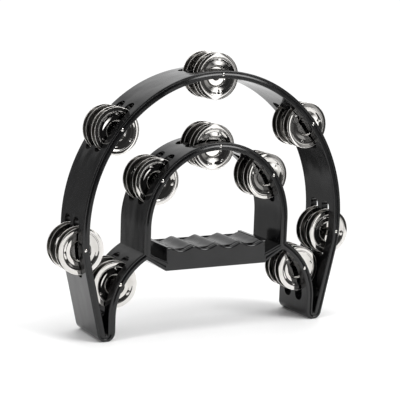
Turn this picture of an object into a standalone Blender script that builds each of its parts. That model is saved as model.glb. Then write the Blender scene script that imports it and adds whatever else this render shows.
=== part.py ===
"""Half-moon hand tambourine with a double row of jingles.

An outer arch band and an inner arch band meet at two feet. A wavy grip bar spans the inner
arch. Ten steel pins cross the bands from front to back, and each carries two pairs of jingles
in a pair of slots. The object stands on its feet: X runs across it, Y runs from front to back
and Z is up. The origin is centred between the feet, on the surface they stand on.
"""

import math

import bmesh
import bpy
from mathutils import Matrix, Vector

MM = 0.001

# Band section, shared by both arches and both legs.
DEPTH = 45.0 * MM
HALF_DEPTH = DEPTH / 2
BAND = 6.2 * MM
HALF_BAND = BAND / 2
EDGE_BEVEL = 0.7 * MM
LIP = 1.35 * MM
CHANNEL_DEPTH = 1.0 * MM
SEAM = 0.3 * MM

# Outer arch: half an ellipse, a short bend at the side pins, then a straight run to the foot.
ARCH_HALF_WIDTH = 114.6 * MM
ARCH_RISE = 121.4 * MM
ARCH_BASE_Z = 86.0 * MM
ARCH_STEPS = 18
BEND_TOP_Z = 78.0 * MM
BEND_RADIUS = 64.0 * MM
BEND_STEPS = 3
LEAN = 12.6

# Foot: a round tip, cut flat where it stands, with a V-shaped gap above it.
FOOT_RADIUS = 7.5 * MM
FOOT_CENTRE_Z = 7.23 * MM
GAP_RADIUS = 1.2 * MM
FOOT_SEAM_Z = 10.0 * MM

# Inner arch and the legs that flare from it to the feet.
INNER_RADIUS = 62.5 * MM
INNER_CENTRE_Z = 88.0 * MM
INNER_STEPS = 26
LEG_RADIUS = 55.0 * MM
LEG_CENTRE_Z = 18.0 * MM
LEG_STEPS = 10
LEG_SEAM_ANGLE = 56.5

# Handle: a tray between the walls of the inner arch, with a wavy grip set into it.
HANDLE_HALF = 45.4 * MM
HANDLE_BOTTOM = 52.5 * MM
CREST_Z = 71.8 * MM
WAVE_DEPTH = 3.2 * MM
WAVE_LENGTH = 21.6 * MM
WAVE_COUNT = 4
WAVE_SHARPNESS = 1.45
WAVE_STEPS = 8
TRAY_WALL = 2.6 * MM
REAR_RIM_DROP = 2.2 * MM
GUSSET_AT_HANDLE = (60.8 * MM, 52.5 * MM)
GUSSET_AT_WALL = (67.0 * MM, 62.8 * MM)
GUSSET_SEAM_X = 55.0 * MM
GRIP_CLEARANCE = 1.0 * MM
GRIP_BEVEL = 1.2 * MM

# Pins: a round head at each end sits in the channel of the band.
PIN_RADIUS = 1.1 * MM
PIN_HOLE_RADIUS = 1.35 * MM
PIN_HEAD_RADIUS = 1.45 * MM
PIN_HEAD_BASE = 21.7 * MM
PIN_END = 22.4 * MM
PIN_SIDES = 10

# Slots: two beside each other at each pin.
SLOT_OFFSET = 8.5 * MM
SLOT_HALF_WIDTH = 5.4 * MM
SLOT_CORNER = 4.6 * MM
SLOT_REACH = 24.0 * MM
LEG_SLOT_UP = 22.4 * MM
LEG_SLOT_DOWN = 28.3 * MM

# Jingles: dished discs in pairs, cups facing each other, hanging on the pin by their holes.
JINGLE_RADIUS = 18.8 * MM
JINGLE_HOLE = 3.6 * MM
CUP_RADIUS = 7.7 * MM
CUP_FOOT = 9.4 * MM
CUP_DEPTH = 2.75 * MM
CUP_FOOT_RISE = 0.55 * MM
JINGLE_THICKNESS = 0.55 * MM
JINGLE_SIDES = 14
JINGLE_SAG = 2.25 * MM
PAIR_HALF_GAP = 3.4 * MM

# Where the pins sit: the angle along each band, measured as that band is built.
OUTER_PIN_ANGLE = 48.8
SIDE_PIN_ANGLE = -3.5
INNER_PIN_ANGLE = 36.2
LEG_PIN_ANGLE = 28.8

# How far each front and each rear pair rests from the middle of its slot.
PAIR_SHIFTS = {
    "outer_top": (-0.5 * MM, 0.3 * MM),
    "outer_upper_left": (-0.3 * MM, -0.4 * MM),
    "outer_upper_right": (-0.4 * MM, 0.5 * MM),
    "outer_side_left": (-1.0 * MM, 0.2 * MM),
    "outer_side_right": (1.0 * MM, -0.6 * MM),
    "inner_top": (1.3 * MM, 0.4 * MM),
    "inner_upper_left": (-0.2 * MM, 0.6 * MM),
    "inner_upper_right": (0.4 * MM, -0.3 * MM),
    "leg_left": (-0.2 * MM, 0.5 * MM),
    "leg_right": (0.2 * MM, -0.5 * MM),
}


def polar(centre, radius, degrees):
    """The point at an angle on a circle in the XZ plane."""
    angle = math.radians(degrees)
    return (centre[0] + radius * math.cos(angle), centre[1] + radius * math.sin(angle))


def arc(centre, radius, start, end, steps):
    """Points along an arc, both ends included."""
    return [polar(centre, radius, start + (end - start) * i / steps) for i in range(steps + 1)]


def mirrored(points):
    """The same points reflected in the plane x = 0, in reverse order."""
    return [(-x, z) for x, z in reversed(points)]


def moved(point, direction, distance):
    """A point moved along a direction."""
    return (point[0] + direction[0] * distance, point[1] + direction[1] * distance)


# The outer arch's straight run leans inwards. LEAN_OUT points out of it, LEAN_DOWN along it.
LEAN_OUT = (math.cos(math.radians(LEAN)), -math.sin(math.radians(LEAN)))
LEAN_DOWN = (-math.sin(math.radians(LEAN)), -math.cos(math.radians(LEAN)))
BEND_CENTRE = (ARCH_HALF_WIDTH - BEND_RADIUS, BEND_TOP_Z)
BEND_END = polar(BEND_CENTRE, BEND_RADIUS, -LEAN)


def foot_centre():
    """Centre of the foot's round tip, whose outer side is flush with the band's outer face."""
    inward = FOOT_RADIUS - HALF_BAND
    start = moved(BEND_END, LEAN_OUT, -inward)
    run = (FOOT_CENTRE_Z - start[1]) / LEAN_DOWN[1]
    return moved(start, LEAN_DOWN, run)


FOOT = foot_centre()
LEG_X = FOOT[0] - FOOT_RADIUS + HALF_BAND
LEG_CENTRE = (LEG_X - LEG_RADIUS, LEG_CENTRE_Z)
INNER_CENTRE = (0.0, INNER_CENTRE_Z)


def gap_centre():
    """Centre of the round bottom of the V gap, between the leg and the outer band."""
    x = LEG_X + HALF_BAND + GAP_RADIUS
    reach = HALF_BAND + GAP_RADIUS
    along = BEND_END[0] * LEAN_OUT[0] + BEND_END[1] * LEAN_OUT[1] - reach
    return (x, (along - x * LEAN_OUT[0]) / LEAN_OUT[1])


def ellipse_point(degrees, offset=0.0):
    """A point on the outer arch, measured from the top, moved out along its normal."""
    angle = math.radians(degrees)
    x = ARCH_HALF_WIDTH * math.sin(angle)
    z = ARCH_BASE_Z + ARCH_RISE * math.cos(angle)
    normal = Vector((math.sin(angle) / ARCH_HALF_WIDTH, math.cos(angle) / ARCH_RISE)).normalized()
    return (x + normal.x * offset, z + normal.y * offset)


def outer_side(offset):
    """Right half of one face of the outer band, from the top to the end of the bend."""
    over_top = [ellipse_point(90.0 * i / ARCH_STEPS, offset) for i in range(ARCH_STEPS + 1)]
    return over_top + arc(BEND_CENTRE, BEND_RADIUS + offset, 0.0, -LEAN, BEND_STEPS)


def outer_arch_outline(inset=0.0, overrun=0.0):
    """Outline of the outer arch with its feet. inset narrows it, overrun passes the seams."""
    if inset > 0.0:
        tip = arc(FOOT, FOOT_RADIUS - inset, -LEAN, -180.0, 8)
    else:
        flat = math.degrees(math.asin(FOOT_CENTRE_Z / FOOT_RADIUS))
        tip = arc(FOOT, FOOT_RADIUS, -LEAN, -flat, 4) + arc(FOOT, FOOT_RADIUS, flat - 180.0, -180.0, 4)
    seam_z = FOOT_SEAM_Z + overrun
    stub = [(LEG_X - HALF_BAND + inset, seam_z), (LEG_X + HALF_BAND - inset, seam_z)]
    gap = arc(gap_centre(), GAP_RADIUS + inset, -180.0, -LEAN, 5)
    right = outer_side(HALF_BAND - inset) + tip + stub + gap
    right += outer_side(-HALF_BAND + inset)[::-1]
    return right + mirrored(right[1:-1])


def gusset_line(upper, inset=0.0):
    """Height of the gusset's upper or lower face at the handle's end and at the wall."""
    heights = [GUSSET_AT_HANDLE[0 if upper else 1], GUSSET_AT_WALL[0 if upper else 1]]
    shift = -inset if upper else inset
    return [height + shift for height in heights]


def gusset_z(x, upper, inset=0.0):
    """Height of a gusset face at x."""
    low, high = gusset_line(upper, inset)
    wall_x = INNER_RADIUS - HALF_BAND if upper else INNER_RADIUS
    return low + (high - low) * (x - HANDLE_HALF) / (wall_x - HANDLE_HALF)


def leg_under_angle(inset):
    """Angle on the leg's lower face where the gusset's lower face meets it."""
    radius = LEG_RADIUS - HALF_BAND + inset
    low, high = 40.0, 75.0
    for _ in range(40):
        middle = (low + high) / 2
        x, z = polar(LEG_CENTRE, radius, middle)
        if z < gusset_z(x, False, inset):
            low = middle
        else:
            high = middle
    return (low + high) / 2


def inner_arch_outline(inset=0.0, overrun=0.0):
    """Outline of the inner arch, down to the seams with the legs and the handle."""
    outer = INNER_RADIUS + HALF_BAND - inset
    inner = INNER_RADIUS - HALF_BAND + inset
    leg_out = LEG_RADIUS + HALF_BAND - inset
    leg_in = LEG_RADIUS - HALF_BAND + inset
    kink_angle = math.degrees(math.acos((outer - LEG_CENTRE[0]) / leg_out))
    seam_angle = LEG_SEAM_ANGLE - math.degrees(overrun / LEG_RADIUS)
    seam_x = GUSSET_SEAM_X - overrun
    right = arc(INNER_CENTRE, outer, 90.0, 0.0, INNER_STEPS // 2)
    right += [polar(LEG_CENTRE, leg_out, kink_angle), polar(LEG_CENTRE, leg_out, seam_angle)]
    right += [polar(LEG_CENTRE, leg_in, seam_angle), polar(LEG_CENTRE, leg_in, leg_under_angle(inset))]
    right += [(seam_x, gusset_z(seam_x, False, inset)), (seam_x, gusset_z(seam_x, True, inset))]
    right += [(inner, gusset_z(inner, True, inset))]
    right += arc(INNER_CENTRE, inner, 0.0, 90.0, INNER_STEPS // 2)
    return right + mirrored(right[1:-1])


def leg_outline(inset=0.0, overrun=0.0):
    """Outline of the right leg, from the seam under the kink to the seam above the foot."""
    top = LEG_SEAM_ANGLE - math.degrees((SEAM - overrun) / LEG_RADIUS)
    bottom = FOOT_SEAM_Z + SEAM - overrun
    outside = arc(LEG_CENTRE, LEG_RADIUS + HALF_BAND - inset, top, 0.0, LEG_STEPS)
    inside = arc(LEG_CENTRE, LEG_RADIUS - HALF_BAND + inset, 0.0, top, LEG_STEPS)
    return outside + [(LEG_X + HALF_BAND - inset, bottom), (LEG_X - HALF_BAND + inset, bottom)] + inside


def wave_points(lower=0.0, half_width=None):
    """Right half of the wavy top edge, from the middle crest outwards."""
    reach = WAVE_LENGTH * WAVE_COUNT / 2 if half_width is None else half_width
    count = WAVE_STEPS * WAVE_COUNT // 2
    points = []
    for i in range(count + 1):
        x = reach * i / count
        dip = WAVE_DEPTH * abs(math.sin(math.pi * x / WAVE_LENGTH)) ** WAVE_SHARPNESS
        points.append((x, CREST_Z - dip - lower))
    return points


def tray_outline():
    """Front view of the handle tray and the gussets that carry it."""
    seam = GUSSET_SEAM_X - SEAM
    right = wave_points() + [(HANDLE_HALF, CREST_Z), (HANDLE_HALF, GUSSET_AT_HANDLE[0])]
    right += [(seam, gusset_z(seam, True)), (seam, gusset_z(seam, False)), (HANDLE_HALF, HANDLE_BOTTOM)]
    return right + mirrored(right[1:])


def gusset_channel_outline():
    """The shallow channel in the front of the right gusset."""
    start = HANDLE_HALF + LIP
    end = GUSSET_SEAM_X + LIP
    upper = [(x, gusset_z(x, True, LIP)) for x in (start, end)]
    lower = [(x, gusset_z(x, False, LIP)) for x in (end, start)]
    return upper + lower


def rear_rim_outline():
    """What is cut off the tray's rear wall so that its rim stays below the grip."""
    top = CREST_Z + REAR_RIM_DROP
    end = HANDLE_HALF + LIP
    right = wave_points(REAR_RIM_DROP) + [(end, CREST_Z - REAR_RIM_DROP / 2), (end, top)]
    return right + mirrored(right[1:])


def grip_outline():
    """Front view of the grip: the same waves on top, a flat bottom on the tray's floor."""
    half = HANDLE_HALF - TRAY_WALL - SEAM
    bottom = HANDLE_BOTTOM + TRAY_WALL + SEAM
    right = wave_points(0.0, half) + [(half, bottom)]
    return right + mirrored(right[1:])


def new_collection(name):
    """A new collection linked to the scene."""
    collection = bpy.data.collections.new(name)
    bpy.context.scene.collection.children.link(collection)
    return collection


def new_material(name, colour, roughness, metallic):
    """A Principled material."""
    material = bpy.data.materials.new(name)
    material.use_nodes = True
    shader = material.node_tree.nodes["Principled BSDF"]
    shader.inputs["Base Color"].default_value = (*colour, 1.0)
    shader.inputs["Roughness"].default_value = roughness
    shader.inputs["Metallic"].default_value = metallic
    return material


def new_object(name, mesh, collection, material=None):
    """A mesh object in a collection."""
    piece = bpy.data.objects.new(name, mesh)
    collection.objects.link(piece)
    if material is not None:
        mesh.materials.clear()
        mesh.materials.append(material)
    return piece


def outline_mesh(name, outline, half_depth):
    """A filled and extruded outline as a welded mesh, with whole faces front and back."""
    curve = bpy.data.curves.new(name, "CURVE")
    curve.dimensions = "2D"
    curve.fill_mode = "BOTH"
    curve.extrude = half_depth
    spline = curve.splines.new("POLY")
    spline.points.add(len(outline) - 1)
    for point, (x, z) in zip(spline.points, outline):
        point.co = (x, z, 0.0, 1.0)
    spline.use_cyclic_u = True
    holder = bpy.data.objects.new(name + "_curve", curve)
    bpy.context.scene.collection.objects.link(holder)
    evaluated = holder.evaluated_get(bpy.context.evaluated_depsgraph_get())
    mesh = bpy.data.meshes.new_from_object(evaluated)
    bpy.data.objects.remove(holder)
    work = bmesh.new()
    work.from_mesh(mesh)
    bmesh.ops.remove_doubles(work, verts=work.verts, dist=0.00001)
    bmesh.ops.dissolve_limit(work, angle_limit=math.radians(0.5), verts=work.verts, edges=work.edges)
    bmesh.ops.recalc_face_normals(work, faces=work.faces)
    work.to_mesh(mesh)
    work.free()
    return mesh


def outline_object(name, outline, half_depth, collection, material=None):
    """An extruded outline standing upright, facing along Y."""
    piece = new_object(name, outline_mesh(name, outline, half_depth), collection, material)
    piece.rotation_euler = (math.pi / 2, 0.0, 0.0)
    return piece


def bevel(piece, width, segments=1):
    """Break the sharp edges of a piece."""
    modifier = piece.modifiers.new("edges", "BEVEL")
    modifier.width = width
    modifier.segments = segments
    modifier.limit_method = "ANGLE"
    modifier.angle_limit = math.radians(40)
    modifier.use_clamp_overlap = False


def cut(piece, cutter):
    """Take a cutter away from a piece."""
    modifier = piece.modifiers.new("cut_" + cutter.name, "BOOLEAN")
    modifier.operation = "DIFFERENCE"
    modifier.solver = "EXACT"
    modifier.object = cutter


def as_cutter(piece):
    """Hide a cutter from renders."""
    piece.hide_render = True
    piece.display_type = "WIRE"
    return piece


def cut_channels(piece, outline, cutters):
    """Sink a channel into the front and rear edges of a band."""
    for side in (-1, 1):
        name = piece.name + ("_channel_front" if side < 0 else "_channel_rear")
        cutter = as_cutter(outline_object(name, outline, CHANNEL_DEPTH, cutters))
        cutter.location.y = side * HALF_DEPTH
        cut(piece, cutter)


def slot_mesh(name, reach_up, reach_down):
    """A slot cutter with round ends, running along local X and cutting along local Z."""
    side = SLOT_HALF_WIDTH - SLOT_CORNER
    top = reach_up - SLOT_CORNER
    bottom = SLOT_CORNER - reach_down
    outline = arc((top, -side), SLOT_CORNER, -90.0, 0.0, 3)
    outline += arc((top, side), SLOT_CORNER, 0.0, 90.0, 3)
    outline += arc((bottom, side), SLOT_CORNER, 90.0, 180.0, 3)
    outline += arc((bottom, -side), SLOT_CORNER, 180.0, 270.0, 3)
    return outline_mesh(name, outline, 3 * BAND)


def station_frame(point, tangent):
    """Matrix that puts local X along the band, local Y along the pin and the origin on it."""
    along = Vector((tangent[0], 0.0, tangent[1])).normalized()
    pin = Vector((0.0, 1.0, 0.0))
    out = along.cross(pin)
    matrix = Matrix((along, pin, out)).transposed().to_4x4()
    matrix.translation = (point[0], 0.0, point[1])
    return matrix


def stations():
    """Every pin: its name, its place, the direction up its band and the node it crosses."""
    upper = ellipse_point(OUTER_PIN_ANGLE)
    ahead = ellipse_point(OUTER_PIN_ANGLE - 1.0)
    side = polar(BEND_CENTRE, BEND_RADIUS, SIDE_PIN_ANGLE)
    inner = polar(INNER_CENTRE, INNER_RADIUS, INNER_PIN_ANGLE)
    leg = polar(LEG_CENTRE, LEG_RADIUS, LEG_PIN_ANGLE)
    places = [
        ("outer_upper", upper, (ahead[0] - upper[0], ahead[1] - upper[1]), "frame_outer_arch"),
        ("outer_side", side, polar((0.0, 0.0), 1.0, SIDE_PIN_ANGLE + 90.0), "frame_outer_arch"),
        ("inner_upper", inner, polar((0.0, 0.0), 1.0, INNER_PIN_ANGLE + 90.0), "frame_inner_arch"),
        ("leg", leg, polar((0.0, 0.0), 1.0, LEG_PIN_ANGLE + 90.0), "frame_leg"),
    ]
    found = [
        ("outer_top", ellipse_point(0.0), (1.0, 0.0), "frame_outer_arch"),
        ("inner_top", (0.0, INNER_CENTRE_Z + INNER_RADIUS), (1.0, 0.0), "frame_inner_arch"),
    ]
    for name, point, tangent, node in places:
        for side_name, sign in (("left", -1), ("right", 1)):
            owner = node + "_" + side_name if node == "frame_leg" else node
            place = (point[0] * sign, point[1])
            found.append((name + "_" + side_name, place, (tangent[0] * sign, tangent[1]), owner))
    return found


def make_frame(parts, cutters, material):
    """The four pieces of the moulded frame."""
    pieces = {
        "frame_outer_arch": outer_arch_outline,
        "frame_inner_arch": inner_arch_outline,
        "frame_leg_right": leg_outline,
        "frame_leg_left": lambda inset=0.0, overrun=0.0: mirrored(leg_outline(inset, overrun)),
    }
    made = {}
    for name, outline in pieces.items():
        piece = outline_object(name, outline(), HALF_DEPTH, parts, material)
        bevel(piece, EDGE_BEVEL)
        cut_channels(piece, outline(LIP, 2 * LIP), cutters)
        made[name] = piece
    return made


def cut_stations(frame, cutters):
    """Cut two slots and one pin hole at every station."""
    plain_slot = slot_mesh("slot", SLOT_REACH, SLOT_REACH)
    leg_slot = slot_mesh("leg_slot", LEG_SLOT_UP, LEG_SLOT_DOWN)
    for name, point, tangent, owner in stations():
        matrix = station_frame(point, tangent)
        slot = leg_slot if name.startswith("leg") else plain_slot
        for row, side in (("front", -1), ("rear", 1)):
            cutter = as_cutter(new_object("slot_" + name + "_" + row, slot, cutters))
            cutter.matrix_world = matrix @ Matrix.Translation((0.0, side * SLOT_OFFSET, 0.0))
            cut(frame[owner], cutter)
        hole = as_cutter(cylinder("pin_hole_" + name, PIN_HOLE_RADIUS, 2 * DEPTH, 12, cutters))
        hole.location = (point[0], 0.0, point[1])
        hole.rotation_euler = (math.pi / 2, 0.0, 0.0)
        cut(frame[owner], hole)


def cylinder(name, radius, length, sides, collection):
    """A plain cylinder along local Z."""
    mesh = bpy.data.meshes.new(name)
    work = bmesh.new()
    bmesh.ops.create_cone(
        work, cap_ends=True, segments=sides, radius1=radius, radius2=radius, depth=length
    )
    work.to_mesh(mesh)
    work.free()
    return new_object(name, mesh, collection)


def box(name, low, high, collection):
    """A box between two corners."""
    mesh = bpy.data.meshes.new(name)
    work = bmesh.new()
    bmesh.ops.create_cube(work, size=1.0)
    size = [b - a for a, b in zip(low, high)]
    bmesh.ops.scale(work, vec=size, verts=work.verts)
    work.to_mesh(mesh)
    work.free()
    piece = new_object(name, mesh, collection)
    piece.location = [(a + b) / 2 for a, b in zip(low, high)]
    return piece


def make_handle(parts, cutters, material, grip_material):
    """The tray with its gussets, and the wavy grip that lies in it."""
    tray = outline_object("handle_tray", tray_outline(), HALF_DEPTH, parts, material)
    bevel(tray, EDGE_BEVEL)
    inside_x = HANDLE_HALF - TRAY_WALL
    inside_y = HALF_DEPTH - TRAY_WALL
    low = (-inside_x, -inside_y, HANDLE_BOTTOM + TRAY_WALL)
    high = (inside_x, inside_y, CREST_Z + TRAY_WALL)
    cut(tray, as_cutter(box("tray_inside", low, high, cutters)))
    rear = as_cutter(outline_object("tray_rear_rim", rear_rim_outline(), TRAY_WALL + SEAM, cutters))
    rear.location.y = HALF_DEPTH
    cut(tray, rear)
    for side_name, sign in (("left", -1), ("right", 1)):
        outline = gusset_channel_outline()
        if sign < 0:
            outline = mirrored(outline)
        for face_name, face in (("front", -1), ("rear", 1)):
            name = "gusset_channel_" + side_name + "_" + face_name
            cutter = as_cutter(outline_object(name, outline, CHANNEL_DEPTH, cutters))
            cutter.location.y = face * HALF_DEPTH
            cut(tray, cutter)
    half = inside_y - GRIP_CLEARANCE
    grip = outline_object("handle_grip", grip_outline(), half, parts, grip_material)
    bevel(grip, GRIP_BEVEL, 2)


def turned_mesh(name, profile, sides, material, thickness=0.0):
    """A profile of (radius, height) points turned about local Z, as a finished mesh."""
    mesh = bpy.data.meshes.new(name)
    vertices = [(radius, 0.0, height) for radius, height in profile]
    edges = [(i, i + 1) for i in range(len(profile) - 1)]
    mesh.from_pydata(vertices, edges, [])
    holder = bpy.data.objects.new(name + "_profile", mesh)
    bpy.context.scene.collection.objects.link(holder)
    screw = holder.modifiers.new("turn", "SCREW")
    screw.axis = "Z"
    screw.steps = sides
    screw.render_steps = sides
    screw.use_merge_vertices = True
    screw.merge_threshold = 0.00001
    if thickness > 0.0:
        sheet = holder.modifiers.new("sheet", "SOLIDIFY")
        sheet.thickness = thickness
        sheet.offset = 0.0
    evaluated = holder.evaluated_get(bpy.context.evaluated_depsgraph_get())
    turned = bpy.data.meshes.new_from_object(evaluated)
    bpy.data.objects.remove(holder)
    turned.name = name
    turned.materials.append(material)
    turned.shade_smooth()
    turned.set_sharp_from_angle(angle=math.radians(35))
    return turned


def make_pins(parts, material):
    """One steel pin at each station, with a round head at both ends."""
    shoulder = (PIN_END + PIN_HEAD_BASE) / 2
    upper = [(0.0, PIN_END), (0.75 * PIN_HEAD_RADIUS, shoulder)]
    upper += [(PIN_HEAD_RADIUS, PIN_HEAD_BASE), (PIN_RADIUS, PIN_HEAD_BASE)]
    lower = [(radius, -height) for radius, height in reversed(upper)]
    mesh = turned_mesh("pin", upper + lower, PIN_SIDES, material)
    for name, point, _, _ in stations():
        pin = new_object("pin_" + name, mesh, parts)
        pin.location = (point[0], 0.0, point[1])
        pin.rotation_euler = (math.pi / 2, 0.0, 0.0)


def make_jingles(parts, material):
    """Four jingles at each station, numbered from front to back, each origin on its pin."""
    profile = [
        (JINGLE_HOLE, CUP_DEPTH),
        (CUP_RADIUS, CUP_DEPTH),
        (CUP_FOOT, CUP_FOOT_RISE),
        (JINGLE_RADIUS, 0.0),
    ]
    disc = turned_mesh("jingle", profile, JINGLE_SIDES, material, JINGLE_THICKNESS)
    for cup_side in (1, -1):
        mesh = disc.copy()
        mesh.name = "jingle_cup_back" if cup_side > 0 else "jingle_cup_front"
        turn = Matrix.Rotation(-cup_side * math.pi / 2, 4, "X")
        mesh.transform(Matrix.Translation((0.0, 0.0, -JINGLE_SAG)) @ turn)
        for name, point, _, _ in stations():
            for row, slot_y in enumerate((-SLOT_OFFSET, SLOT_OFFSET)):
                number = 2 * row + (1 if cup_side > 0 else 2)
                y = slot_y + PAIR_SHIFTS[name][row] - cup_side * PAIR_HALF_GAP
                jingle = new_object("jingle_" + name + "_" + str(number), mesh, parts)
                jingle.location = (point[0], y, point[1])


def main():
    """Build the tambourine."""
    for old in list(bpy.data.objects):
        bpy.data.objects.remove(old)
    parts = new_collection("tambourine")
    cutters = new_collection("cutters")
    plastic = new_material("black_plastic", (0.018, 0.018, 0.02), 0.32, 0.0)
    grip_plastic = new_material("grip_plastic", (0.025, 0.025, 0.028), 0.45, 0.0)
    steel = new_material("pin_steel", (0.72, 0.71, 0.69), 0.2, 1.0)
    nickel = new_material("jingle_nickel", (0.8, 0.79, 0.77), 0.12, 1.0)
    frame = make_frame(parts, cutters, plastic)
    cut_stations(frame, cutters)
    make_handle(parts, cutters, plastic, grip_plastic)
    make_pins(parts, steel)
    make_jingles(parts, nickel)


main()
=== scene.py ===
"""Looks for the half-moon tambourine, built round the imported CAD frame.

The frame's five CAD solids are shown as one black moulding, made here at a finer resolution with
rounded lips, channels, slots and pin holes. The grip, pins and jingles are made again in detail
and stand where the frame says. The world and one dim card give soft studio light, and the floor is
a pale disc.

Lengths are in metres and angles in degrees, unless a name or a comment says otherwise. Outlines
are (x, z) points seen from the front.
"""

import math

import bmesh
import bpy
from mathutils import Matrix, Vector


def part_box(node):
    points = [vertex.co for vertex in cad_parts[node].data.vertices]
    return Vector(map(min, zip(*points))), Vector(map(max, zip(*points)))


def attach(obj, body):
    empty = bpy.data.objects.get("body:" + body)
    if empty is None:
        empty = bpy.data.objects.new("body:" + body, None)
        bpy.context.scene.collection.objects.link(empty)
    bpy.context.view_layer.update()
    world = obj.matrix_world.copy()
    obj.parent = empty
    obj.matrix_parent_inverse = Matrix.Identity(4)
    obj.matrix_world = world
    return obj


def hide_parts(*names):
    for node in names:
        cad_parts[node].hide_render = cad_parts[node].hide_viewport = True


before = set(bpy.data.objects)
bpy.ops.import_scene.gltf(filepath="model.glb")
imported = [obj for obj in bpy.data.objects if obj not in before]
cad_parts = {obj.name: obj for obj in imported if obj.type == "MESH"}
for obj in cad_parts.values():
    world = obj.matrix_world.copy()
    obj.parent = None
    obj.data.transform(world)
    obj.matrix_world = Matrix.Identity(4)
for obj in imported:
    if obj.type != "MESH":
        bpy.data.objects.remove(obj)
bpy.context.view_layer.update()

MM = 0.001
BODY = "tambourine_frame"
FRAME_NODES = [
    "frame_outer_arch",
    "frame_inner_arch",
    "frame_leg_left",
    "frame_leg_right",
    "handle_tray",
]
STATIONS = sorted(name[4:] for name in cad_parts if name.startswith("pin_"))

# The moulding. Sizes that the CAD boxes give are read from them.
BAND = 6.2 * MM
HALF_BAND = BAND / 2
HALF_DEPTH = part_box("frame_outer_arch")[1][1]
ARCH_HALF_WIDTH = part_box("frame_outer_arch")[1][0] - HALF_BAND
ARCH_BASE_Z = 86.0 * MM
ARCH_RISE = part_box("frame_outer_arch")[1][2] - HALF_BAND - ARCH_BASE_Z
ARCH_STEPS = 72
BEND_TOP_Z = 78.0 * MM
BEND_RADIUS = 64.0 * MM
BEND_STEPS = 10
LEAN = 12.6
FOOT_RADIUS = 7.5 * MM
FOOT_CENTRE_Z = 7.23 * MM
FOOT_STEPS = 24
GAP_RADIUS = 1.2 * MM
GAP_STEPS = 16
INNER_RADIUS = 62.5 * MM
INNER_CENTRE = (0.0, 88.0 * MM)
INNER_STEPS = 56
LEG_RADIUS = 55.0 * MM
LEG_CENTRE_Z = 18.0 * MM
LEG_STEPS = 40
LEG_UNDER_RANGE = (40.0, 75.0)
HALVINGS = 40
EDGE_BEVEL = 0.8 * MM
HANDLE_BEVEL = 1.7 * MM
BORDER_SEGMENTS = 4
CREST_MARGIN = 0.5 * MM
SMALL_BEVEL = 0.16 * MM
SMALL_BEVEL_SEGMENTS = 2
SMALL_BEVEL_ANGLE = 35.0
SHELL_SMOOTH_ANGLE = 32.0
FACE_WEIGHT = 100
# The sunk channel's section, in mm: depth, inset from a band's outer border, inset from its inner
# border.
CHANNEL = [
    (-0.4, 0.9, 1.7),
    (0.0, 1.35, 2.6),
    (0.06, 1.5, 2.85),
    (0.2, 1.62, 3.15),
    (0.42, 1.72, 3.5),
    (0.62, 1.82, 3.9),
    (0.68, 1.95, 4.1),
]
CHANNEL_END = 0.5 * MM

# How close points are merged in outlines and in turned pieces, and how flat a dissolved edge is.
MERGE_DISTANCE = 0.01 * MM
TURN_MERGE = 0.001 * MM
FLAT_ANGLE = 0.05

# The handle.
HANDLE_HALF = 45.4 * MM
HANDLE_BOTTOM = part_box("handle_tray")[0][2]
CREST_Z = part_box("handle_tray")[1][2]
WAVE_DEPTH = 3.2 * MM
WAVE_LENGTH = 21.6 * MM
WAVE_COUNT = 4
WAVE_STEPS = 24
WAVE_SHARPNESS = 1.45
TRAY_WALL = 2.6 * MM
REAR_RIM_DROP = 2.2 * MM
REAR_RIM_REACH = 1.3 * MM
REAR_RIM_DEPTH = TRAY_WALL + 0.3 * MM
GRIP_BEVEL = 2.0 * MM
GRIP_BEVEL_SEGMENTS = 5
GRIP_SMOOTH_ANGLE = 40.0
GUSSET_AT_HANDLE = (60.8 * MM, 52.5 * MM)
GUSSET_AT_WALL = (67.0 * MM, 62.8 * MM)

# Slots and pins.
SLOT_OFFSET = 8.5 * MM
SLOT_HALF_WIDTH = 5.4 * MM
SLOT_CORNER = 4.6 * MM
SLOT_CORNER_STEPS = 8
SLOT_REACH = 24.0 * MM
LEG_SLOT_UP = 22.4 * MM
LEG_SLOT_DOWN = 28.3 * MM
LEG_SECTOR = (-20.0, 70.0)
LEG_SECTOR_STEPS = 30
LEG_SECTOR_MARGIN = 0.5 * MM
PIN_RADIUS = 1.1 * MM
PIN_SIDES = 32
PIN_SMOOTH_ANGLE = 50.0
PIN_HOLE_RADIUS = 1.35 * MM
PIN_HOLE_SIDES = 24
PIN_HEAD_RADIUS = 1.45 * MM
PIN_HEAD_BASE = 21.7 * MM
PIN_HEAD_SUNK = 0.1 * MM
PIN_HEAD_STEP = 10

# Jingles.
JINGLES_PER_PIN = 4
JINGLE_RADIUS = 18.8 * MM
JINGLE_THICKNESS = 0.55 * MM
JINGLE_SIDES = 128
JINGLE_EDGE_ROUND = 0.06 * MM
JINGLE_EDGE_SHARE = 0.7
JINGLE_SMOOTH_ANGLE = 60.0
JINGLE_CENTRE_RISE = -2.25 * MM
JINGLE_SPINS = (8.0, 55.0, 101.0, 32.0, 78.0)
DIMPLE_COUNT = 3
DIMPLE_REACH = 0.71
DIMPLE_SIZE = 0.85 * MM
DIMPLE_HEIGHT = 0.5 * MM
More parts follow.
